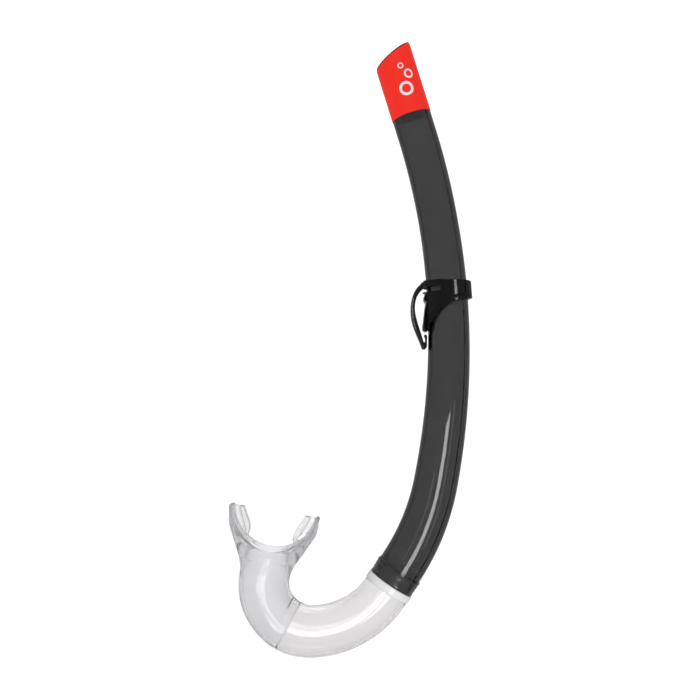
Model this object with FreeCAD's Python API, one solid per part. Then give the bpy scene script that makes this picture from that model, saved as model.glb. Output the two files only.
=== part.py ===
import FreeCAD, Part
import math
import os
from collections import namedtuple

from FreeCAD import Vector

# Snorkel tube, upright as it is worn. Millimetres, +Z up, +X towards the back of the head.
# The tube bends in the XZ plane, y = 0 is its plane of symmetry, and the origin is the
# centre of the slot that the mask strap passes through.

# Centreline, from the open top down to the mouth
TIP_X = -17.3
TIP_Z = 171.68
TIP_LEAN = 16.92           # degrees from vertical, the top leans towards -X
TOP_STRAIGHT = 54.9
BARREL_BEND_R = 476.2
BARREL_BEND = 28.31        # degrees
FOOT_BEND_R = 148.3
FOOT_BEND = 21.91
SOCKET_LENGTH = 14.2
RING_HEIGHT = 5.2
ELBOW_BEND_R = 59.0
ELBOW_BEND = 56.8
MOUTH_BEND_R = 30.6
SEAM_TURN = 29.6           # part of the mouth bend that belongs to the elbow
NECK_TURN = 69.5           # the rest of it, on the mouthpiece

# Barrel
TUBE_R = 13.05
TUBE_FOOT_R = 15.0
WALL = 1.9
FOOT_BORE_R = 13.0
TAPER_FROM = 9.55          # lean in degrees at which the tube starts to widen
TIP_CUT = 22.4             # slant of the open top, degrees
CUT_SPARE = 14.0           # how far solids run on past the slant before it cuts them

# Signal band, a sleeve let into the tube wall that stands a little proud
BAND_LENGTH = 43.0
BAND_DEPTH = 0.6
BAND_PROUD = 0.3
BAND_MARGIN = 0.9          # bare tube left above the band

# Socket collar
COLLAR_LENGTH = 10.3
COLLAR_TOP_R = 15.85
COLLAR_LOW_R = 15.45

# Coupling ring with its two spigots
RING_R = 16.0
RING_BORE_R = 11.4
UPPER_SPIGOT_R = 12.5
UPPER_SPIGOT = 12.5
RIB_R = 12.93
RIB_HEIGHT = 1.6
RIB_PITCH = 3.2
RIB_COUNT = 4
LOWER_SPIGOT_R = 13.5
LOWER_SPIGOT = 6.0
FACE_GAP = 0.15

# Elbow and mouthpiece tube
ELBOW_TOP_R = 15.3
ELBOW_R = 16.85
ELBOW_BORE_TOP_R = 13.1
ELBOW_BORE_R = 14.0
SEAM_SPIGOT = 5.4
SEAM_SPIGOT_R = 15.2
SEAM_FIT = 0.08
SEAM_SOCKET_SPARE = 0.4
NECK_R = 16.4

# Mouthpiece, in its own plane: u across the mouth, v along the breath, from the neck
ARCH_R = 27.6              # inner face of the lip flange follows the teeth
ARCH_V = 45.4
FLANGE_WALL = 2.3
FLANGE_TOP_V = 42.6
FLANGE_HALF_U = 30.0
FLANGE_HALF_Y = 15.5
FLANGE_CORNER_R = 11.0
BELL = [(0.0, 16.4, 16.4), (4.0, 16.7, 16.4), (9.0, 18.2, 16.2), (15.5, 21.4, 15.8),
        (21.0, 24.2, 15.0), (26.5, 27.0, 13.2), (33.0, 29.3, 9.5), (38.0, 30.0, 5.5)]
BORE_STEP_V = 10.2         # the round bore ends here in a small step, and a slightly oval airway goes on
AIRWAY_LOW = (14.6, 14.3)  # half width and half height just above the step
AIRWAY_TOP = (14.9, 12.8)
AIRWAY_TOP_V = 30.0
LUG_WEB_HALF = 1.5
LUG_RIDGE_HALF = 4.5
LUG_WINDOW_R = 1.2

# Keeper: ring, shield and catch tooth in one moulding
KEEPER_BORE_R = 14.1
KEEPER_R = 16.4
KEEPER_TOP_Z = 19.8
KEEPER_LOW_Z = 8.6
KEEPER_TIP_Z = -13.6
GROOVE_DEPTH = 0.5
BAND_SLOT_X = 12.7
BAND_SLOT_LOW_Z = 12.4
BAND_SLOT_TOP_Z = 15.4

# Spring gate
GATE_HALF_Y = 4.5
GATE_GAP = 0.3
GATE_PIVOT_X = 2.2
GATE_PIVOT_Z = 17.6
GATE_KNUCKLE_R = 1.7

BEYOND = 40.0              # half size of tools that only have to reach past the part

Station = namedtuple("Station", "x z lean")
SIDE = Vector(0, 1, 0)


def point(station):
    return Vector(station.x, 0, station.z)


def heading(station):
    lean = math.radians(station.lean)
    return Vector(math.sin(lean), 0, -math.cos(lean))


def straight(station, length):
    end = point(station) + heading(station) * length
    return Station(end.x, end.z, station.lean)


def bend(station, radius, turn):
    start = math.radians(station.lean)
    end = math.radians(station.lean - turn)
    x = station.x + radius * (math.cos(end) - math.cos(start))
    z = station.z + radius * (math.sin(end) - math.sin(start))
    return Station(x, z, station.lean - turn)


def bend_edge(station, radius, turn):
    middle = bend(station, radius, turn / 2)
    return Part.Arc(point(station), point(middle), point(bend(station, radius, turn))).toShape()


def circle(station, radius):
    return Part.Wire(Part.makeCircle(radius, point(station), heading(station)))


def rod(station, radius, length):
    return Part.makeCylinder(radius, length, point(station), heading(station))


def rod_taper(station, first_r, last_r, length):
    return Part.makeCone(first_r, last_r, length, point(station), heading(station))


def bent_rod(edges, first, first_r, last, last_r):
    return Part.Wire(edges).makePipeShell([circle(first, first_r), circle(last, last_r)], True, False)


def joined(solids):
    return solids[0].fuse(solids[1:]).removeSplitter()


def slab(outline, half_y):
    """Solid from a closed outline of edges in the XZ plane, half_y thick each way."""
    face = Part.Face(Part.Wire(outline))
    face.translate(Vector(0, -half_y, 0))
    return face.extrude(Vector(0, 2 * half_y, 0))


def line(a, b):
    return Part.LineSegment(a, b).toShape()


def flat(x, z):
    return Vector(x, 0, z)


def polyline(points):
    return [line(a, b) for a, b in zip(points, points[1:])]


def smooth(points):
    curve = Part.BSplineCurve()
    curve.interpolate(points)
    return curve.toShape()


# Stations along the centreline
tip = Station(TIP_X, TIP_Z, TIP_LEAN)
bend_top = straight(tip, TOP_STRAIGHT)
taper_top = bend(bend_top, BARREL_BEND_R, TIP_LEAN - TAPER_FROM)
bend_low = bend(bend_top, BARREL_BEND_R, BARREL_BEND)
socket_top = bend(bend_low, FOOT_BEND_R, FOOT_BEND)
barrel_end = straight(socket_top, SOCKET_LENGTH)
ring_end = straight(barrel_end, RING_HEIGHT)
low_point = bend(ring_end, ELBOW_BEND_R, ELBOW_BEND)
seam = bend(low_point, MOUTH_BEND_R, SEAM_TURN)
neck = bend(seam, MOUTH_BEND_R, NECK_TURN)


def mouth(u, v):
    """Point of the mouthpiece's own plane."""
    up = heading(neck)
    across = Vector(up.z, 0, -up.x)
    return point(neck) + across * u + up * v


def barrel_solid(upper_r, foot_r):
    """Stretches of a rod along the barrel, run on past the open top."""
    start = straight(tip, -CUT_SPARE)
    top = rod(start, upper_r, CUT_SPARE + TOP_STRAIGHT)
    even = bent_rod([bend_edge(bend_top, BARREL_BEND_R, TIP_LEAN - TAPER_FROM)],
                    bend_top, upper_r, taper_top, upper_r)
    lower_turn = BARREL_BEND - (TIP_LEAN - TAPER_FROM)
    path = [bend_edge(taper_top, BARREL_BEND_R, lower_turn),
            bend_edge(bend_low, FOOT_BEND_R, FOOT_BEND)]
    widening = bent_rod(path, taper_top, upper_r, socket_top, foot_r)
    foot = rod(socket_top, foot_r, SOCKET_LENGTH)
    return [top, even, widening, foot]


def above_slant(down):
    """Everything above the slanted open top, moved down along the tube by a little."""
    block = Part.makeBox(2 * BEYOND, 2 * BEYOND, 2 * BEYOND, Vector(-BEYOND, -BEYOND, 0))
    block.rotate(Vector(0, 0, 0), SIDE, -TIP_LEAN - TIP_CUT)
    block.translate(point(straight(tip, down)))
    return block


def top_sleeve(outer_r):
    """Sleeve round the top of the barrel, from the band's seat out to outer_r."""
    start = straight(tip, -CUT_SPARE)
    length = CUT_SPARE + BAND_LENGTH
    return rod(start, outer_r, length).cut(rod(start, TUBE_R - BAND_DEPTH, length))


def barrel_tube():
    outer = barrel_solid(TUBE_R, TUBE_FOOT_R)
    bore = barrel_solid(TUBE_R - WALL, FOOT_BORE_R)
    stretches = [solid.cut(hole) for solid, hole in zip(outer, bore)]
    recess = top_sleeve(TUBE_R + WALL).cut(above_slant(BAND_MARGIN))
    return joined(stretches).cut(above_slant(0)).cut(recess)


def tip_band():
    return top_sleeve(TUBE_R + BAND_PROUD).cut(above_slant(BAND_MARGIN))


def socket_collar():
    top = straight(barrel_end, -COLLAR_LENGTH)
    hoop = rod_taper(top, COLLAR_TOP_R, COLLAR_LOW_R, COLLAR_LENGTH)
    return hoop.cut(rod(top, TUBE_FOOT_R, COLLAR_LENGTH))


def coupling_ring():
    face = straight(barrel_end, FACE_GAP)
    disc = rod(face, RING_R, RING_HEIGHT - FACE_GAP)
    spigot_top = straight(barrel_end, -UPPER_SPIGOT)
    upper = rod(spigot_top, UPPER_SPIGOT_R, UPPER_SPIGOT + FACE_GAP)
    lower = rod(ring_end, LOWER_SPIGOT_R, LOWER_SPIGOT)
    ribs = []
    for index in range(RIB_COUNT):
        rib_start = straight(spigot_top, 0.4 + index * RIB_PITCH)
        ribs.append(rod(rib_start, RIB_R, RIB_HEIGHT))
    body = joined([disc, upper, lower] + ribs)
    return body.cut(rod(spigot_top, RING_BORE_R, UPPER_SPIGOT + RING_HEIGHT + LOWER_SPIGOT))


def elbow_tube():
    path = [bend_edge(ring_end, ELBOW_BEND_R, ELBOW_BEND),
            bend_edge(low_point, MOUTH_BEND_R, SEAM_TURN)]
    outer = bent_rod(path, ring_end, ELBOW_TOP_R, seam, ELBOW_R)
    bore = bent_rod(path, ring_end, ELBOW_BORE_TOP_R, seam, ELBOW_BORE_R)
    shell = outer.cut(bore).cut(rod(ring_end, LOWER_SPIGOT_R, LOWER_SPIGOT))
    back = straight(seam, -0.5)
    spigot = rod(back, SEAM_SPIGOT_R, SEAM_SPIGOT + 0.5).cut(rod(back, ELBOW_BORE_R, SEAM_SPIGOT + 0.5))
    return joined([shell, spigot])


def bell_section(v, half_u, half_y):
    centre = mouth(0, v)
    if half_u == half_y:
        round_section = Part.Circle(mouth(half_u, v), centre + SIDE * half_y, mouth(-half_u, v))
        return Part.Wire(round_section.toShape())
    return Part.Wire(Part.Ellipse(mouth(half_u, v), centre + SIDE * half_y, centre).toShape())


def bell():
    """Outside of the neck, which flares from the round tube to the two horns of the flange."""
    sections = [bell_section(v, half_u, half_y) for v, half_u, half_y in BELL]
    return Part.makeLoft(sections, True, False)


def arch(radius):
    """Cylinder across the mouth that the lip flange bends round."""
    return Part.makeCylinder(radius, 2 * BEYOND, mouth(0, ARCH_V) - SIDE * BEYOND, SIDE)


def flange():
    plate = arch(ARCH_R + FLANGE_WALL)
    low = Part.makeBox(2 * FLANGE_HALF_U, 2 * FLANGE_HALF_Y, FLANGE_TOP_V + 10)
    low.translate(Vector(-FLANGE_HALF_U, -FLANGE_HALF_Y, -10))
    corners = [edge for edge in low.Edges if abs(edge.tangentAt(0).z) > 0.99]
    low = low.makeFillet(FLANGE_CORNER_R, corners)
    low.rotate(Vector(0, 0, 0), SIDE, math.degrees(math.atan2(heading(neck).x, heading(neck).z)))
    low.translate(point(neck))
    return plate.common(low)


def lug(side):
    """Bite lug: a web out from the flange and a thicker ridge that sits behind the teeth."""
    top = mouth(side * (ARCH_R - 0.2), FLANGE_TOP_V)
    foot = mouth(side * 17.6, 23.5)
    back = mouth(side * 28.6, 35.3)
    crest = [mouth(side * 20.2, FLANGE_TOP_V), mouth(side * 16.6, 35.3), mouth(side * 14.2, 27.8),
             mouth(side * 15.4, 23.9)]
    valley = [mouth(side * 23.2, FLANGE_TOP_V), mouth(side * 20.6, 35.3), mouth(side * 17.6, 28.8),
              mouth(side * 16.9, 25.1)]
    web = [line(top, crest[0]), smooth(crest), line(crest[-1], foot), line(foot, back), line(back, top)]
    ridge = [line(crest[0], valley[0]), smooth(valley), line(valley[-1], crest[-1]), smooth(crest)]
    return [slab(web, LUG_WEB_HALF), slab(ridge, LUG_RIDGE_HALF)]


def lug_window(side):
    """Slot through the web, between the foot of the ridge and the flange."""
    low = mouth(side * 18.6, 26.6)
    high = mouth(side * 21.2, 30.2)
    run = high - low
    slot = Part.makeBox(run.Length, 2 * BEYOND, 2 * LUG_WINDOW_R, Vector(0, -BEYOND, -LUG_WINDOW_R))
    slot.rotate(Vector(0, 0, 0), SIDE, -math.degrees(math.atan2(run.z, run.x)))
    slot.translate(low)
    ends = [Part.makeCylinder(LUG_WINDOW_R, 2 * BEYOND, end - SIDE * BEYOND, SIDE) for end in (low, high)]
    return slot.fuse(ends)


def mouthpiece():
    bend_outside = bent_rod([bend_edge(seam, MOUTH_BEND_R, NECK_TURN)], seam, ELBOW_R, neck, NECK_R)
    bore_top = straight(neck, BORE_STEP_V + 0.5)
    bore = bent_rod([bend_edge(seam, MOUTH_BEND_R, NECK_TURN), line(point(neck), point(bore_top))],
                    seam, ELBOW_BORE_R, bore_top, ELBOW_BORE_R)
    socket = rod(seam, SEAM_SPIGOT_R + SEAM_FIT, SEAM_SPIGOT + SEAM_SOCKET_SPARE)
    airway = Part.makeLoft([bell_section(BORE_STEP_V, *AIRWAY_LOW),
                            bell_section(AIRWAY_TOP_V, *AIRWAY_TOP)], True, False)
    body = bell().fuse(flange()).cut(arch(ARCH_R))
    for side in (-1, 1):
        body = body.fuse(lug(side)).cut(lug_window(side))
    body = body.fuse(bend_outside)
    return body.cut(airway).cut(bore).cut(socket)


def keeper_outline():
    """Side outline: level ring edges, then a shield that sweeps down to the catch tip."""
    return (polyline([flat(-10, KEEPER_TOP_Z), flat(BEYOND, KEEPER_TOP_Z), flat(BEYOND, KEEPER_LOW_Z),
                      flat(34.0, KEEPER_LOW_Z), flat(30.5, 7.3)])
            + [Part.Arc(flat(30.5, 7.3), flat(16.4, 2.6), flat(5.6, -10.2)).toShape(),
               Part.Arc(flat(5.6, -10.2), flat(3.6, KEEPER_TIP_Z), flat(1.8, -11.4)).toShape()]
            + polyline([flat(1.8, -11.4), flat(2.3, -7.0), flat(3.2, 1.0), flat(3.9, 4.4), flat(3.9, 6.0),
                        flat(2.6, 6.8), flat(2.8, 9.4), flat(4.0, 12.0), flat(-10, 12.0),
                        flat(-10, KEEPER_TOP_Z)]))


def keeper_rod(radius):
    """Rod along the barrel's bend, long enough for the keeper."""
    top = bend(bend_top, BARREL_BEND_R, TIP_LEAN - 6.5)
    turn = 8.5
    return bent_rod([bend_edge(top, BARREL_BEND_R, turn)], top, radius,
                    bend(top, BARREL_BEND_R, turn), radius)


def keeper_clip():
    shell = keeper_rod(KEEPER_R).common(slab(keeper_outline(), BEYOND))
    catch = slab(polyline([flat(7.0, -3.0), flat(2.75, -3.0), flat(2.3, -7.0), flat(1.8, -11.4)])
                 + [Part.Arc(flat(1.8, -11.4), flat(3.6, KEEPER_TIP_Z), flat(5.6, -10.2)).toShape(),
                    line(flat(5.6, -10.2), flat(7.0, -3.0))], GATE_HALF_Y)
    slot = slab(polyline([flat(-12, BAND_SLOT_LOW_Z), flat(BAND_SLOT_X, BAND_SLOT_LOW_Z),
                          flat(BAND_SLOT_X, BAND_SLOT_TOP_Z), flat(-12, BAND_SLOT_TOP_Z),
                          flat(-12, BAND_SLOT_LOW_Z)]), BEYOND)
    notch = slab(polyline([flat(-12, BAND_SLOT_TOP_Z - 1), flat(6, BAND_SLOT_TOP_Z - 1), flat(6, 24),
                           flat(-12, 24), flat(-12, BAND_SLOT_TOP_Z - 1)]), GATE_HALF_Y + GATE_GAP)
    groove = slab([Part.Arc(flat(32.5, 9.6), flat(15.4, 4.6), flat(5.2, -7.0)).toShape()]
                  + polyline([flat(5.2, -7.0), flat(4.4, -6.2)])
                  + [Part.Arc(flat(4.4, -6.2), flat(14.7, 5.5), flat(32.5, 10.6)).toShape(),
                     line(flat(32.5, 10.6), flat(32.5, 9.6))], BEYOND)
    groove = groove.cut(keeper_rod(KEEPER_R - GROOVE_DEPTH))
    return shell.fuse(catch).cut(keeper_rod(KEEPER_BORE_R)).cut(slot).cut(notch).cut(groove)


def keeper_gate():
    """Bowed spring strip with a knuckle at its root and a hook under the catch tip."""
    outer = smooth([flat(3.4, 19.6), flat(-2.9, 13.9), flat(-5.8, 4.1), flat(-4.3, -10.3),
                    flat(-1.1, -18.3), flat(1.4, -25.0)])
    inner = smooth([flat(2.6, -20.4), flat(0.9, -14.7), flat(-1.5, -7.1), flat(-3.0, 0.1),
                    flat(-1.5, 10.0), flat(1.2, 13.8)])
    hook = polyline([flat(1.4, -25.0), flat(3.2, -25.4), flat(4.7, -23.6), flat(4.9, -16.6),
                     flat(4.1, -15.1), flat(2.7, -15.8)])
    back = polyline([flat(2.7, -15.8), flat(3.6, -18.4), flat(3.4, -20.6), flat(2.6, -20.4)])
    root = polyline([flat(1.2, 13.8), flat(3.4, 16.0), flat(3.4, 19.6)])
    strip = slab([outer] + hook + back + [inner] + root, GATE_HALF_Y)
    knuckle = Part.makeCylinder(GATE_KNUCKLE_R, 2 * GATE_HALF_Y,
                                Vector(GATE_PIVOT_X, -GATE_HALF_Y, GATE_PIVOT_Z), SIDE)
    return joined([strip, knuckle])


NODES = {
    "barrel_tube": barrel_tube,
    "tip_band": tip_band,
    "socket_collar": socket_collar,
    "coupling_ring": coupling_ring,
    "elbow_tube": elbow_tube,
    "mouthpiece": mouthpiece,
    "keeper_clip": keeper_clip,
    "keeper_gate": keeper_gate,
}

os.makedirs("parts", exist_ok=True)
for node, build in NODES.items():
    shape = build()
    shape.exportStep("parts/" + node + ".step")
    print(node, shape.ShapeType, len(shape.Solids), shape.isValid(), round(shape.Volume, 1))
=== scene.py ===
import math

import bmesh
import bpy
import numpy as np
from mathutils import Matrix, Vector
from mathutils.kdtree import KDTree


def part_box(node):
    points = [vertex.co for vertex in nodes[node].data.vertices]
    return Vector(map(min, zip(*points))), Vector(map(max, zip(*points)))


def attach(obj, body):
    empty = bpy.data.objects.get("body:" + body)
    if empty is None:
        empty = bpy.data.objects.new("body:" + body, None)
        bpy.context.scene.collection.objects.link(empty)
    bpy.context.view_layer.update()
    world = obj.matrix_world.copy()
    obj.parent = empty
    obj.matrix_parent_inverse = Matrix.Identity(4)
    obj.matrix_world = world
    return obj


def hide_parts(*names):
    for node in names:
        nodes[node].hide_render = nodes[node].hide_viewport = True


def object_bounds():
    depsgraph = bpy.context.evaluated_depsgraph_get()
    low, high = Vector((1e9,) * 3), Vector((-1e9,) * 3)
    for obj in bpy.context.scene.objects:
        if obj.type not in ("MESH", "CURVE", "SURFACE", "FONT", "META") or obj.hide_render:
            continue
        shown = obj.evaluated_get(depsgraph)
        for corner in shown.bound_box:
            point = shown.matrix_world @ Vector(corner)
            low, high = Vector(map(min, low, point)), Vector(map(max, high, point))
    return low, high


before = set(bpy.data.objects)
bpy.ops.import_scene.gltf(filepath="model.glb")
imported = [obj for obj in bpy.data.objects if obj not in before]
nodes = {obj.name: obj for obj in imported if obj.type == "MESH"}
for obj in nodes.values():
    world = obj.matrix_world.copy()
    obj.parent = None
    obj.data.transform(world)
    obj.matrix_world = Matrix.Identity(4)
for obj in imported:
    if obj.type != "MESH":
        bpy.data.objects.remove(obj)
cad_low, cad_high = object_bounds()

MM = 0.001                           # millimetres to metres

# Centreline of the tube in its own bend plane y = 0, as in the CAD design: millimetres and degrees.
# Each run is (bend radius, turn), or (0, length) where it is straight.
TIP = (-17.3, 171.68, 16.92)
TOP_STRAIGHT = 54.9
SOCKET_LENGTH = 14.2
BARREL_RUNS = [(0, TOP_STRAIGHT), (476.2, 28.31), (148.3, 21.91), (0, SOCKET_LENGTH)]
RING_HEIGHT = 5.2
ELBOW_RUNS = [(59.0, 56.8), (30.6, 29.6)]
TAPER_FROM = 116.15                  # distance from the tip at which the barrel starts to widen

# Radii and lengths of the pieces, in millimetres; a name with _R is a radius
TUBE_R = 13.05
FOOT_R = 15.0
WALL = 1.9
FOOT_BORE_R = 13.0
BAND_SEAT_R = 12.45
BAND_R = 13.35
BAND_TOP = 0.9
BAND_LOW = 43.0
BAND_PLAY = (0.05, 0.1)              # how much longer the band's seat is, above and below
LIP_RISE = 0.55                      # height of the barrel's rim over the band's seat
COLLAR_LENGTH = 10.3
COLLAR_TOP_R = 15.85
COLLAR_LOW_R = 15.45
GROOVE_HALF = 0.85                   # half the width of a groove in the collar
GROOVE_DEPTH = 0.42
GROOVES = 3
RING_R = 16.0
RING_BORE_R = 11.4
UPPER_SPIGOT_R = 12.5
UPPER_SPIGOT = 12.5
RIB_R = 12.9
RIBS = 4
RIB_FIRST = 1.2                      # from the spigot's end to the middle of its first rib
RIB_PITCH = 3.2
RIB_HALF = (0.5, 0.8)                # half the width of a spigot rib, at its top and at its foot
RING_LIFT = 0.15                     # air between the collar and the ring
ELBOW_LIFT = 0.03                    # air between the ring and the elbow
ELBOW_TOP_R = 15.3
ELBOW_R = 16.85
ELBOW_BORE_TOP_R = 13.1
ELBOW_BORE_R = 14.0
SEAM_GAP = 0.2                       # air at the seam, which draws its fine line
SEAM_SOCKET_R = 15.28
SOCKET_SPAN = (0.0, 5.9)             # from the seam into the mouthpiece
FILL_OVERLAP = 0.4                   # how far the socket's filler reaches into the mouthpiece's wall
SKIN = 0.03                          # air between two pieces that touch, so that each keeps its surface
TIP_SLANT = math.tan(math.radians(22.4))
SLANT_FADE = (8.0, 38.0)             # the slant of the open top dies out between these distances
BUBBLES = [(27.0, 0.6, 4.8), (17.6, 5.0, 3.2), (11.4, 1.2, 2.0)]   # distance down, across, radius
BUBBLE_HOLE = 0.62                   # inner radius of a bubble's ring, as a part of its outer one
PRINT_THICK = 0.05

# Mesh and smoothing
AROUND = 128                         # points round a tube
FILLET_STEPS = 5
ALMOST_STRAIGHT = math.radians(89)   # a corner whose half angle is wider than this stays as it is
WELD = 1e-6                          # metres
SMOOTH_IN_OUT = (0.5, -0.53)         # each pass pulls the skin in by the first and out by the second
PILLOW_EDGE = 0.3                    # thickness left at the rim of a bar that is rounded over
RIM_BAND = 0.4                       # points nearer to the middle plane than this part are the rim

# Camera and stage, in metres
CAMERA_AIM = Vector((-0.046, 0.0, -0.0255))    # from the strap slot, which is the origin
CAMERA_DISTANCE = 0.6745
CAMERA_ELEVATION = math.radians(-3.3)
LENS_MM = 52.56
FLOOR_DROP = 0.25
STAGE_HALF_WIDTH = 6.0
STAGE_FRONT = -3.0
STAGE_CURVE_FROM = 1.2
STAGE_CURVE_R = 0.8
STAGE_HEIGHT = 3.0

# The room, by direction: strengths, and soft edges as parts of the way to the back or to the right
ROOM_LIGHT = 0.85
REAR_LIGHT = 0.4
REAR_EDGE = (0.1, 0.35)              # how far towards the back the room grows dim
GAP_FROM = (-0.06, -0.02)            # a dark gap stands on the right between these two soft edges
GAP_TO = (0.10, 0.14)
GAP_SIDE = (0.0, 0.2)                # the gap is there on the right alone

# Lights in metres and watts: place, point aimed at, size, power. The back light falls on everything,
# and each of the others on the pieces that light_only names for it.
LIGHTS = {
    "back_light": ((0, 0.9, 1.6), (0, 1.9, 0.2), (2.0, 1.0), 19),
    "floor_light": ((0, -2.0, 1.4), (0, -2.0, -0.5), (4.0, 1.6), 12),
    "low_light": ((0.17, -0.75, -0.27), (0, 0, -0.15), (0.22, 0.40), 2.2),
    "left_light": ((-0.26, -0.72, -0.27), (0, 0, -0.15), (0.10, 0.40), 0.11),
    "right_light": ((0.50, -0.62, -0.27), (0, 0, -0.15), (0.10, 0.40), 0.11),
    "front_light": ((-0.115, -0.75, -0.235), (-0.08, 0, -0.2), (0.26, 0.34), 1.6),
    "neck_light": ((-0.26, -0.72, -0.29), (-0.1, 0, -0.2), (0.50, 0.09), 0.8),
    "seam_light": ((-0.23, -0.5, -0.43), (-0.09, 0, -0.2), (0.15, 0.10), 0.4),
    "tip_light": ((-0.02, -0.7, 0.3), (-0.01, 0, 0.15), (0.5, 0.5), 0.65),
    "keeper_light": ((0.45, -0.6, 0.12), (0, 0, 0.01), (0.15, 0.05), 0.8),
    "edge_light": ((0.15, -0.5, 0.45), (0, 0, 0), (0.3, 0.06), 3.0),
    "strip_light": ((-0.62, -0.62, 0.05), (0, 0, 0), (0.06, 0.5), 38),
}


def walk(place, run, part=1.0):
    """Place (x, z, lean) after a part of a run."""
    x, z, lean = place
    radius, amount = run
    start = math.radians(lean)
    if radius == 0:
        return (x + math.sin(start) * amount * part, z - math.cos(start) * amount * part, lean)
    end = math.radians(lean - amount * part)
    return (x + radius * (math.cos(end) - math.cos(start)),
            z + radius * (math.sin(end) - math.sin(start)), lean - amount * part)


def run_length(run):
    """Length of a run along the centreline."""
    radius, amount = run
    return amount if radius == 0 else radius * math.radians(amount)


def total(runs):
    """Length of several runs together."""
    return sum(run_length(run) for run in runs)


def after(place, runs):
    """Place at the end of the runs."""
    for run in runs:
        place = walk(place, run)
    return place


def place_at(start, runs, s):
    """Place at distance s along the runs. The line goes on straight before and after them."""
    if s < 0:
        return walk(start, (0, s))
    for run in runs:
        length = run_length(run)
        if s <= length:
            return walk(start, run, s / length)
        start = walk(start, run)
        s -= length
    return walk(start, (0, s))


def fillet(corners):
    """Closed outline of (s, r) points from corners (s, r, rounding), each rounded by an arc."""
    points = []
    for i, (s, r, rounding) in enumerate(corners):
        here = np.array((s, r))
        back = np.array(corners[i - 1][:2]) - here
        ahead = np.array(corners[(i + 1) % len(corners)][:2]) - here
        back /= np.linalg.norm(back)
        ahead /= np.linalg.norm(ahead)
        half = math.acos(max(-1.0, min(1.0, float(back @ ahead)))) / 2
        if rounding == 0 or half > ALMOST_STRAIGHT:
            points.append(here)
            continue
        middle = back + ahead
        centre = here + middle / np.linalg.norm(middle) * rounding / math.sin(half)
        first = here + back * rounding / math.tan(half) - centre
        last = here + ahead * rounding / math.tan(half) - centre
        sweep = math.atan2(first[0] * last[1] - first[1] * last[0], float(first @ last))
        for k in range(FILLET_STEPS + 1):
            a = sweep * k / FILLET_STEPS
            turned = (first[0] * math.cos(a) - first[1] * math.sin(a),
                      first[0] * math.sin(a) + first[1] * math.cos(a))
            points.append(centre + np.array(turned))
    return points


def divide(points, step):
    """Closed outline with its long stretches divided."""
    out = []
    for a, b in zip(points, points[1:] + points[:1]):
        count = max(1, int(math.ceil(np.linalg.norm(b - a) / step)))
        out += [a + (b - a) * k / count for k in range(count)]
    return out


def slanted(s, u):
    """Distance along the line of a point of the slanted top, u across from the centreline."""
    low, high = SLANT_FADE
    t = min(1.0, max(0.0, (s - low) / (high - low)))
    return s - u * TIP_SLANT * (1 - t * t * (3 - 2 * t))


def beside(place, u, y):
    """Point in metres, u across from a place on the centreline in the bend plane and y in depth."""
    x, z, lean = place
    lean = math.radians(lean)
    return ((x + math.cos(lean) * u) * MM, y * MM, (z + math.sin(lean) * u) * MM)


def tube_shape(start, runs, corners, step, slant=False):
    """Closed shell: an outline of (distance along the line, radius) swept round the line."""
    outline = divide(fillet(corners), step)
    verts = []
    for s, r in outline:
        for k in range(AROUND):
            angle = 2 * math.pi * k / AROUND
            u = r * math.cos(angle)
            place = place_at(start, runs, slanted(s, u) if slant else s)
            verts.append(beside(place, u, r * math.sin(angle)))
    return verts, loop_faces(0, len(outline), AROUND)


def loop_faces(base, count, around):
    """Faces between closed loops of points, the last loop joined to the first."""
    faces = []
    for j in range(count):
        for k in range(around):
            a, b = base + j * around, base + (j + 1) % count * around
            faces.append((a + k, a + (k + 1) % around, b + (k + 1) % around, b + k))
    return faces


def make_mesh(name, verts, faces):
    """Closed mesh with its faces turned outwards."""
    mesh = bpy.data.meshes.new(name)
    mesh.from_pydata(verts, [], faces)
    work = bmesh.new()
    work.from_mesh(mesh)
    bmesh.ops.recalc_face_normals(work, faces=work.faces)
    work.to_mesh(mesh)
    work.free()
    return mesh


def make_piece(name, body, mesh):
    """Smooth-shaded piece that rides on a body."""
    mesh.name = name
    for polygon in mesh.polygons:
        polygon.use_smooth = True
    piece = bpy.data.objects.new(name, mesh)
    bpy.context.scene.collection.objects.link(piece)
    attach(piece, body)
    return piece


def tube(name, body, start, runs, corners, step=2.0, slant=False):
    """Piece swept round the centreline."""
    return make_piece(name, body, make_mesh(name, *tube_shape(start, runs, corners, step, slant)))


def neighbour_mean(points, first, second, valence):
    """Mean of each point's neighbours, from the two ends of every edge."""
    mean = np.zeros_like(points)
    for axis in range(3):
        mean[:, axis] = np.bincount(first, points[second, axis], len(points))
        mean[:, axis] += np.bincount(second, points[first, axis], len(points))
    return mean / valence[:, None]


def pillow(points, reach):
    """Round a flat bar: its two flat faces fall away towards the edges of its outline."""
    half = np.abs(points[:, 1]).max()
    rim = points[np.abs(points[:, 1]) < RIM_BAND * half]
    tree = KDTree(len(rim))
    for k, (x, y, z) in enumerate(rim):
        tree.insert((x, 0, z), k)
    tree.balance()
    for point in points:
        depth = min(1.0, tree.find((point[0], 0, point[2]))[2] / reach)
        point[1] *= PILLOW_EDGE + (1 - PILLOW_EDGE) * math.sqrt(1 - (1 - depth) ** 2)


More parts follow.
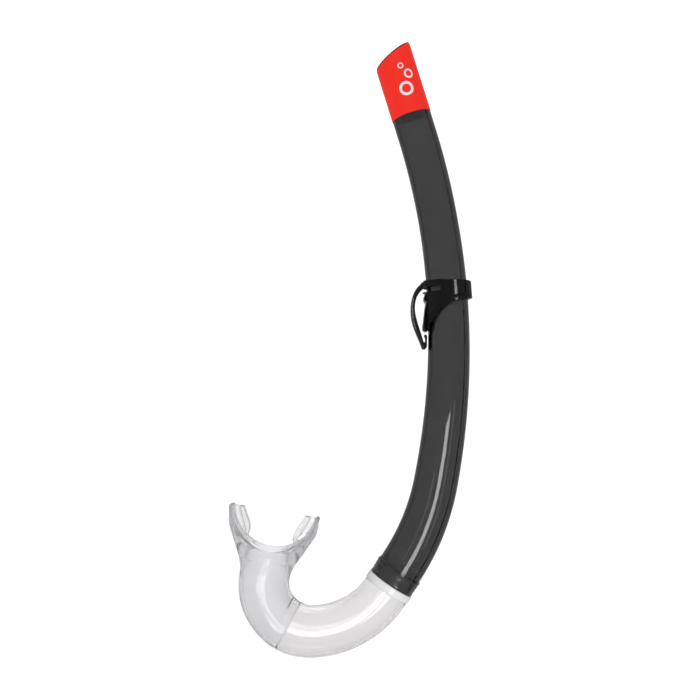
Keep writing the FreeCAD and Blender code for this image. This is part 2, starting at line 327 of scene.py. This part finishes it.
def rounded_copy(node, name, body, voxel, passes, filler=None, round_over=None):
    """Copy of a CAD node with softened edges: remeshed evenly, then smoothed.

    Each pass pulls the skin in and pushes it out again, which keeps the size.
    """
    source = nodes[node].data.copy()
    work = bmesh.new()
    work.from_mesh(source)
    bmesh.ops.remove_doubles(work, verts=work.verts, dist=WELD)
    if filler:
        work.from_mesh(filler)
    work.to_mesh(source)
    work.free()
    raw = bpy.data.objects.new(name + "_raw", source)
    bpy.context.scene.collection.objects.link(raw)
    remesh = raw.modifiers.new("even", "REMESH")
    remesh.mode = "VOXEL"
    remesh.voxel_size = voxel
    evaluated = raw.evaluated_get(bpy.context.evaluated_depsgraph_get())
    even = bpy.data.meshes.new_from_object(evaluated)
    bpy.data.objects.remove(raw)
    count = len(even.vertices)
    points = np.empty(count * 3)
    even.vertices.foreach_get("co", points)
    points = points.reshape(-1, 3)
    edges = np.empty(len(even.edges) * 2, dtype=np.int64)
    even.edges.foreach_get("vertices", edges)
    first, second = edges.reshape(-1, 2).T
    valence = np.bincount(first, minlength=count) + np.bincount(second, minlength=count)
    if round_over:
        pillow(points, round_over)
    for _ in range(passes):
        for strength in SMOOTH_IN_OUT:
            points += strength * (neighbour_mean(points, first, second, valence) - points)
    low, high = (np.array(corner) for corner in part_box(node))
    points = np.clip(points, low, high)
    even.vertices.foreach_set("co", points.ravel())
    piece = make_piece(name, body, even)
    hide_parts(node)
    return piece


# Pieces

# Each corner of an outline is (distance along the centreline, radius, rounding), in millimetres.

def barrel_shell():
    """Curved tube, thinner where the band sits and wider at the foot."""
    length = total(BARREL_RUNS)
    foot = length - SOCKET_LENGTH
    seat_top = BAND_TOP - BAND_PLAY[0]
    seat_low = BAND_LOW + BAND_PLAY[1]
    lip = BAND_SEAT_R + LIP_RISE
    corners = [(0, TUBE_R - WALL, 0.35), (0, lip, 0.3), (seat_top, lip, 0), (seat_top, BAND_SEAT_R, 0),
               (seat_low, BAND_SEAT_R, 0), (seat_low, TUBE_R, 0.15), (TAPER_FROM, TUBE_R, 0),
               (foot, FOOT_R - SKIN, 0), (length, FOOT_R - SKIN, 0.3), (length, FOOT_BORE_R, 0.3),
               (foot, FOOT_BORE_R, 0), (TAPER_FROM, TUBE_R - WALL, 0)]
    piece = tube("barrel_shell", "barrel", TIP, BARREL_RUNS, corners, step=2.5, slant=True)
    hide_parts("barrel_tube")
    return piece


def signal_band():
    """Band round the tip, cut at the tip's slant above and square below."""
    corners = [(BAND_TOP, BAND_SEAT_R + SKIN, 0.1), (BAND_TOP, BAND_R, 0.4),
               (BAND_LOW, BAND_R, 0.3), (BAND_LOW, BAND_SEAT_R + SKIN, 0.1)]
    piece = tube("signal_band", "barrel", TIP, BARREL_RUNS, corners, slant=True)
    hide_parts("tip_band")
    return piece


def ribbed_collar():
    """Collar round the barrel's foot, with shallow grooves between its ribs."""
    end = total(BARREL_RUNS)
    top = end - COLLAR_LENGTH
    corners = [(top, FOOT_R + SKIN, 0), (top, COLLAR_TOP_R, 0.35)]
    for groove in range(1, GROOVES + 1):
        part = groove / (GROOVES + 1)
        s = top + COLLAR_LENGTH * part
        r = COLLAR_TOP_R + (COLLAR_LOW_R - COLLAR_TOP_R) * part
        corners += [(s - GROOVE_HALF, r, 0.5), (s, r - GROOVE_DEPTH, 0.4), (s + GROOVE_HALF, r, 0.5)]
    corners += [(end, COLLAR_LOW_R, 0.3), (end, FOOT_R + SKIN, 0)]
    piece = tube("ribbed_collar", "barrel", TIP, BARREL_RUNS, corners)
    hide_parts("socket_collar")
    return piece


def ring_and_spigot():
    """White ring with the ribbed spigot that turns in the collar."""
    start = after(TIP, BARREL_RUNS)
    corners = [(-UPPER_SPIGOT, RING_BORE_R, 0.3), (-UPPER_SPIGOT, UPPER_SPIGOT_R, 0.3)]
    top_half, foot_half = RIB_HALF
    for rib in range(RIBS):
        s = -UPPER_SPIGOT + RIB_FIRST + rib * RIB_PITCH
        corners += [(s - foot_half, UPPER_SPIGOT_R, 0), (s - top_half, RIB_R, 0.15),
                    (s + top_half, RIB_R, 0.15), (s + foot_half, UPPER_SPIGOT_R, 0)]
    corners += [(RING_LIFT, UPPER_SPIGOT_R, 0.2), (RING_LIFT, RING_R, 0.55),
                (RING_HEIGHT, RING_R, 0.45), (RING_HEIGHT, RING_BORE_R, 0.3)]
    piece = tube("white_ring", "elbow", start, [], corners)
    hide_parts("coupling_ring")
    return piece


def elbow_shell():
    """Clear bend from the ring to the seam, growing wider on the way."""
    start = walk(after(TIP, BARREL_RUNS), (0, RING_HEIGHT))
    length = total(ELBOW_RUNS)
    foot = length - SKIN - SEAM_GAP
    corners = [(ELBOW_LIFT, ELBOW_BORE_TOP_R, 0.2), (ELBOW_LIFT, ELBOW_TOP_R, 0.4),
               (foot, ELBOW_R, 0.6), (foot, ELBOW_BORE_R, 0.2)]
    piece = tube("elbow_shell", "elbow", start, ELBOW_RUNS, corners)
    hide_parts("elbow_tube")
    return piece


def socket_filler():
    """Short tube that closes the mouthpiece's socket, so that the clear seam shows as one line."""
    seam = after(walk(after(TIP, BARREL_RUNS), (0, RING_HEIGHT)), ELBOW_RUNS)
    low, high = SOCKET_SPAN
    outer = SEAM_SOCKET_R + FILL_OVERLAP
    corners = [(low, ELBOW_BORE_R, 0), (low, outer, 0), (high, outer, 0), (high, ELBOW_BORE_R, 0)]
    return make_mesh("socket_filler", *tube_shape(seam, [], corners, step=1.0))


def bubble_mark():
    """Plain mark on the signal band: three printed bubbles of falling size."""
    verts, faces = [], []
    skin = BAND_R + SKIN
    rings, around = 5, 40
    for s0, across, radius in BUBBLES:
        base = len(verts)
        inner = radius * BUBBLE_HOLE
        loops = [(inner + (radius - inner) * k / rings, skin + PRINT_THICK) for k in range(rings + 1)]
        loops += [(r, skin) for r, _ in reversed(loops)]
        for r, high in loops:
            for k in range(around):
                angle = 2 * math.pi * k / around
                s = s0 + r * math.sin(angle)
                round_by = -math.pi / 2 + (across + r * math.cos(angle)) / skin
                verts.append(beside(walk(TIP, (0, s)), high * math.cos(round_by),
                                    high * math.sin(round_by)))
        faces += loop_faces(base, len(loops), around)
    return make_piece("bubble_mark", "barrel", make_mesh("bubble_mark", verts, faces))


# Materials

def principled(name):
    """New material with its node tree and its main shader."""
    material = bpy.data.materials.new(name)
    material.use_nodes = True
    tree = material.node_tree
    return material, tree, tree.nodes["Principled BSDF"]


def noise(tree, scale, detail=3.0, stretch=(1, 1, 1)):
    """Noise in the object's own coordinates; scale counts its waves per metre."""
    place = tree.nodes.new("ShaderNodeTexCoord")
    mapping = tree.nodes.new("ShaderNodeMapping")
    mapping.inputs["Scale"].default_value = stretch
    texture = tree.nodes.new("ShaderNodeTexNoise")
    texture.inputs["Scale"].default_value = scale
    texture.inputs["Detail"].default_value = detail
    tree.links.new(place.outputs["Object"], mapping.inputs["Vector"])
    tree.links.new(mapping.outputs["Vector"], texture.inputs["Vector"])
    return texture.outputs["Fac"]


def between(tree, value, low, high, start=0.35, end=0.65):
    """The value, stretched so that start..end becomes low..high."""
    node = tree.nodes.new("ShaderNodeMapRange")
    node.inputs["From Min"].default_value = start
    node.inputs["From Max"].default_value = end
    node.inputs["To Min"].default_value = low
    node.inputs["To Max"].default_value = high
    tree.links.new(value, node.inputs["Value"])
    return node.outputs["Result"]


def blend_colors(tree, factor, first, second):
    """Mix of two colours by the factor."""
    node = tree.nodes.new("ShaderNodeMix")
    node.data_type = "RGBA"
    node.inputs[6].default_value = (*first, 1)
    node.inputs[7].default_value = (*second, 1)
    tree.links.new(factor, node.inputs[0])
    return node.outputs[2]


def add_bump(tree, shader, height, strength, distance):
    """Relief on the shader; distance is its full height in metres."""
    node = tree.nodes.new("ShaderNodeBump")
    node.inputs["Strength"].default_value = strength
    node.inputs["Distance"].default_value = distance
    tree.links.new(height, node.inputs["Height"])
    tree.links.new(node.outputs["Normal"], shader.inputs["Normal"])


def absorb(tree, color, density):
    """Colour taken up inside the material, per metre of way through it."""
    node = tree.nodes.new("ShaderNodeVolumeAbsorption")
    node.inputs["Color"].default_value = (*color, 1)
    node.inputs["Density"].default_value = density
    tree.links.new(node.outputs["Volume"], tree.nodes["Material Output"].inputs["Volume"])


def smoke_plastic(name, waves, depth):
    """Dark see-through hard plastic with uneven tint, faint scratches and waves in its skin."""
    material, tree, shader = principled(name)
    shader.inputs["Transmission Weight"].default_value = 1.0
    shader.inputs["IOR"].default_value = 1.49
    shader.inputs["Specular IOR Level"].default_value = 0.31
    tint = blend_colors(tree, noise(tree, 60), (0.445, 0.445, 0.45), (0.485, 0.485, 0.49))
    tree.links.new(tint, shader.inputs["Base Color"])
    absorb(tree, (0.1, 0.1, 0.11), 700)
    scratches = between(tree, noise(tree, 320, 3, (1, 1, 0.04)), 0.015, 0.05, 0.58, 0.75)
    tree.links.new(scratches, shader.inputs["Roughness"])
    add_bump(tree, shader, noise(tree, waves, 2), depth, 0.0004)
    return material


def clear_silicone(name, tint, absorbed, milk, haze, waves, depth):
    """Clear soft silicone: a little milk inside, patchy haze and soft waves in its skin."""
    material, tree, shader = principled(name)
    shader.inputs["Transmission Weight"].default_value = 1 - milk
    shader.inputs["IOR"].default_value = 1.41
    absorb(tree, absorbed, 60)
    deeper = tuple(channel * 0.97 for channel in tint)
    tree.links.new(blend_colors(tree, noise(tree, 45), deeper, tint), shader.inputs["Base Color"])
    tree.links.new(between(tree, noise(tree, 700, 5), *haze, 0.5, 0.7), shader.inputs["Roughness"])
    add_bump(tree, shader, noise(tree, waves, 2), depth, 0.0006)
    return material


def white_plastic():
    """Milky, slightly see-through plastic with uneven gloss."""
    material, tree, shader = principled("milky_plastic")
    shader.inputs["Transmission Weight"].default_value = 0.2
    shader.inputs["IOR"].default_value = 1.47
    tree.links.new(blend_colors(tree, noise(tree, 80), (0.78, 0.78, 0.80), (0.84, 0.84, 0.86)),
                   shader.inputs["Base Color"])
    tree.links.new(between(tree, noise(tree, 800, 5), 0.14, 0.24), shader.inputs["Roughness"])
    add_bump(tree, shader, noise(tree, 300, 2), 0.06, 0.00005)
    return material


def signal_paint():
    """Red-orange soft plastic: satin skin with a fine grain and slight fading."""
    material, tree, shader = principled("signal_red")
    tree.links.new(blend_colors(tree, noise(tree, 55), (0.93, 0.024, 0.014), (1.0, 0.032, 0.02)),
                   shader.inputs["Base Color"])
    tree.links.new(between(tree, noise(tree, 1200, 4), 0.38, 0.5), shader.inputs["Roughness"])
    shader.inputs["Specular IOR Level"].default_value = 0.12
    add_bump(tree, shader, noise(tree, 2600, 3), 0.12, 0.00005)
    return material


def mark_print():
    """Off-white print, a little uneven."""
    material, tree, shader = principled("mark_print")
    tree.links.new(blend_colors(tree, noise(tree, 900, 4), (0.78, 0.76, 0.75), (0.86, 0.85, 0.85)),
                   shader.inputs["Base Color"])
    tree.links.new(between(tree, noise(tree, 1500, 4), 0.35, 0.55), shader.inputs["Roughness"])
    return material


def black_nylon():
    """Glossy black moulding with a fine grain and uneven gloss."""
    material, tree, shader = principled("black_nylon")
    color = blend_colors(tree, noise(tree, 300, 4), (0.001, 0.001, 0.001), (0.003, 0.003, 0.0034))
    tree.links.new(color, shader.inputs["Base Color"])
    tree.links.new(between(tree, noise(tree, 900, 6), 0.08, 0.17), shader.inputs["Roughness"])
    shader.inputs["Specular IOR Level"].default_value = 0.12
    add_bump(tree, shader, noise(tree, 420, 3), 0.05, 0.00015)
    return material


def stage_white():
    """Matt white of the floor."""
    material, tree, shader = principled("stage_white")
    shader.inputs["Base Color"].default_value = (0.9, 0.9, 0.9, 1)
    shader.inputs["Roughness"].default_value = 0.9
    return material


def dress(piece, material):
    """Give the piece its material."""
    piece.data.materials.clear()
    piece.data.materials.append(material)


# Camera, stage and light

def add_camera():
    """Camera a little below level, in front of the object."""
    data = bpy.data.cameras.new("camera")
    data.lens = LENS_MM
    data.sensor_width = 36
    camera = bpy.data.objects.new("camera", data)
    back = Vector((0, -math.cos(CAMERA_ELEVATION), math.sin(CAMERA_ELEVATION)))
    camera.location = CAMERA_AIM + back * CAMERA_DISTANCE
    camera.rotation_euler = (-back).to_track_quat("-Z", "Y").to_euler()
    bpy.context.scene.collection.objects.link(camera)
    bpy.context.scene.camera = camera


def area_light(name, place, aim, size, power):
    """Rectangular light at a place, turned to a point."""
    data = bpy.data.lights.new(name, "AREA")
    data.shape = "RECTANGLE"
    data.size, data.size_y = size
    data.energy = power
    light = bpy.data.objects.new(name, data)
    light.location = place
    light.rotation_euler = (Vector(aim) - Vector(place)).to_track_quat("-Z", "Y").to_euler()
    bpy.context.scene.collection.objects.link(light)
    return light


def light_only(light, *pieces):
    """The light falls on these pieces alone."""
    group = bpy.data.collections.new(light.name + "_on")
    for piece in pieces:
        group.objects.link(piece)
    light.light_linking.receiver_collection = group


def add_stage():
    """Pale floor that curves up behind. The glossy skins mirror the room and not the floor."""
    bottom = cad_low[2] - FLOOR_DROP
    verts, faces = [], []
    profile = [(STAGE_FRONT, 0.0)]
    for k in range(16):
        turn = math.radians(6 * k)
        profile.append((STAGE_CURVE_FROM + STAGE_CURVE_R * math.sin(turn),
                        STAGE_CURVE_R - STAGE_CURVE_R * math.cos(turn)))
    profile.append((STAGE_CURVE_FROM + STAGE_CURVE_R, STAGE_HEIGHT))
    for y, z in profile:
        verts += [(-STAGE_HALF_WIDTH, y, bottom + z), (STAGE_HALF_WIDTH, y, bottom + z)]
    for k in range(len(profile) - 1):
        faces.append((2 * k, 2 * k + 1, 2 * k + 3, 2 * k + 2))
    mesh = bpy.data.meshes.new("stage_floor")
    mesh.from_pydata(verts, [], faces)
    for polygon in mesh.polygons:
        polygon.use_smooth = True
    floor = bpy.data.objects.new("stage_floor", mesh)
    bpy.context.scene.collection.objects.link(floor)
    floor.data.materials.append(stage_white())
    floor.visible_glossy = False
    return floor


def eased(tree, value, edge, low, high):
    """The value turned softly into low before the edge and high after it."""
    node = tree.nodes.new("ShaderNodeMapRange")
    node.interpolation_type = "SMOOTHSTEP"
    node.inputs["From Min"].default_value = edge[0]
    node.inputs["From Max"].default_value = edge[1]
    node.inputs["To Min"].default_value = low
    node.inputs["To Max"].default_value = high
    tree.links.new(value, node.inputs["Value"])
    return node.outputs["Result"]


def combined(tree, operation, first, second):
    """Two values combined by a math node, kept between 0 and 1 in a sum."""
    node = tree.nodes.new("ShaderNodeMath")
    node.operation = operation
    node.use_clamp = operation == "ADD"
    tree.links.new(first, node.inputs[0])
    tree.links.new(second, node.inputs[1])
    return node.outputs[0]


def add_world():
    """Soft white room, dimmer behind, with a dark gap on the right that draws a line down the tube.

    The camera itself sees it as plain white.
    """
    world = bpy.data.worlds.new("studio")
    world.use_nodes = True
    tree = world.node_tree
    background = tree.nodes["Background"]
    place = tree.nodes.new("ShaderNodeTexCoord")
    split = tree.nodes.new("ShaderNodeSeparateXYZ")
    tree.links.new(place.outputs["Generated"], split.inputs["Vector"])
    room = eased(tree, split.outputs["Y"], REAR_EDGE, ROOM_LIGHT, REAR_LIGHT)
    opening = eased(tree, split.outputs["Y"], GAP_FROM, 1.0, 0.0)
    closing = eased(tree, split.outputs["Y"], GAP_TO, 0.0, 1.0)
    outside = combined(tree, "ADD", opening, closing)
    left = eased(tree, split.outputs["X"], GAP_SIDE, 1.0, 0.0)
    lit = combined(tree, "MAXIMUM", outside, left)
    strength = combined(tree, "MULTIPLY", room, lit)
    seen = tree.nodes.new("ShaderNodeLightPath")
    pick = tree.nodes.new("ShaderNodeMix")
    pick.inputs[3].default_value = 1.0
    tree.links.new(seen.outputs["Is Camera Ray"], pick.inputs[0])
    tree.links.new(strength, pick.inputs[2])
    tree.links.new(pick.outputs[0], background.inputs["Strength"])
    background.inputs["Color"].default_value = (1, 1, 1, 1)
    bpy.context.scene.world = world


add_camera()
floor = add_stage()
add_world()
lamps = {name: area_light(name, *values) for name, values in LIGHTS.items()}

barrel = barrel_shell()
collar = ribbed_collar()
ring = ring_and_spigot()
elbow = elbow_shell()
smoke = smoke_plastic("smoke_plastic", waves=90, depth=0.03)
black = black_nylon()
dress(barrel, smoke)
band = signal_band()
mark = bubble_mark()
dress(band, signal_paint())
dress(mark, mark_print())
dress(collar, smoke_plastic("smoke_collar", waves=210, depth=1.7))
dress(ring, white_plastic())
elbow_clear = clear_silicone("clear_elbow", tint=(0.922, 0.912, 0.917), absorbed=(0.60, 0.57, 0.59),
                             milk=0.04, haze=(0.03, 0.08), waves=60, depth=0.12)
dress(elbow, elbow_clear)
soft = rounded_copy("mouthpiece", "soft_mouthpiece", "mouthpiece",
                    voxel=0.00045, passes=10, filler=socket_filler())
soft_clear = clear_silicone("clear_mouthpiece", tint=(0.925, 0.92, 0.93), absorbed=(0.58, 0.57, 0.6),
                            milk=0.12, haze=(0.10, 0.17), waves=95, depth=0.85)
dress(soft, soft_clear)
keeper = rounded_copy("keeper_clip", "strap_keeper", "keeper", voxel=0.00025, passes=14)
gate = rounded_copy("keeper_gate", "spring_gate", "gate", voxel=0.00022, passes=20, round_over=0.0013)
dress(keeper, black)
dress(gate, black)

light_only(lamps["front_light"], elbow)
light_only(lamps["neck_light"], soft)
light_only(lamps["seam_light"], soft)
light_only(lamps["tip_light"], band, mark)
light_only(lamps["floor_light"], floor)
light_only(lamps["low_light"], barrel, collar, ring, elbow)
light_only(lamps["left_light"], barrel, collar)
light_only(lamps["right_light"], barrel, collar)
light_only(lamps["keeper_light"], keeper, gate)
light_only(lamps["edge_light"], keeper)
light_only(lamps["strip_light"], gate)

bpy.context.scene.view_settings.view_transform = "Standard"
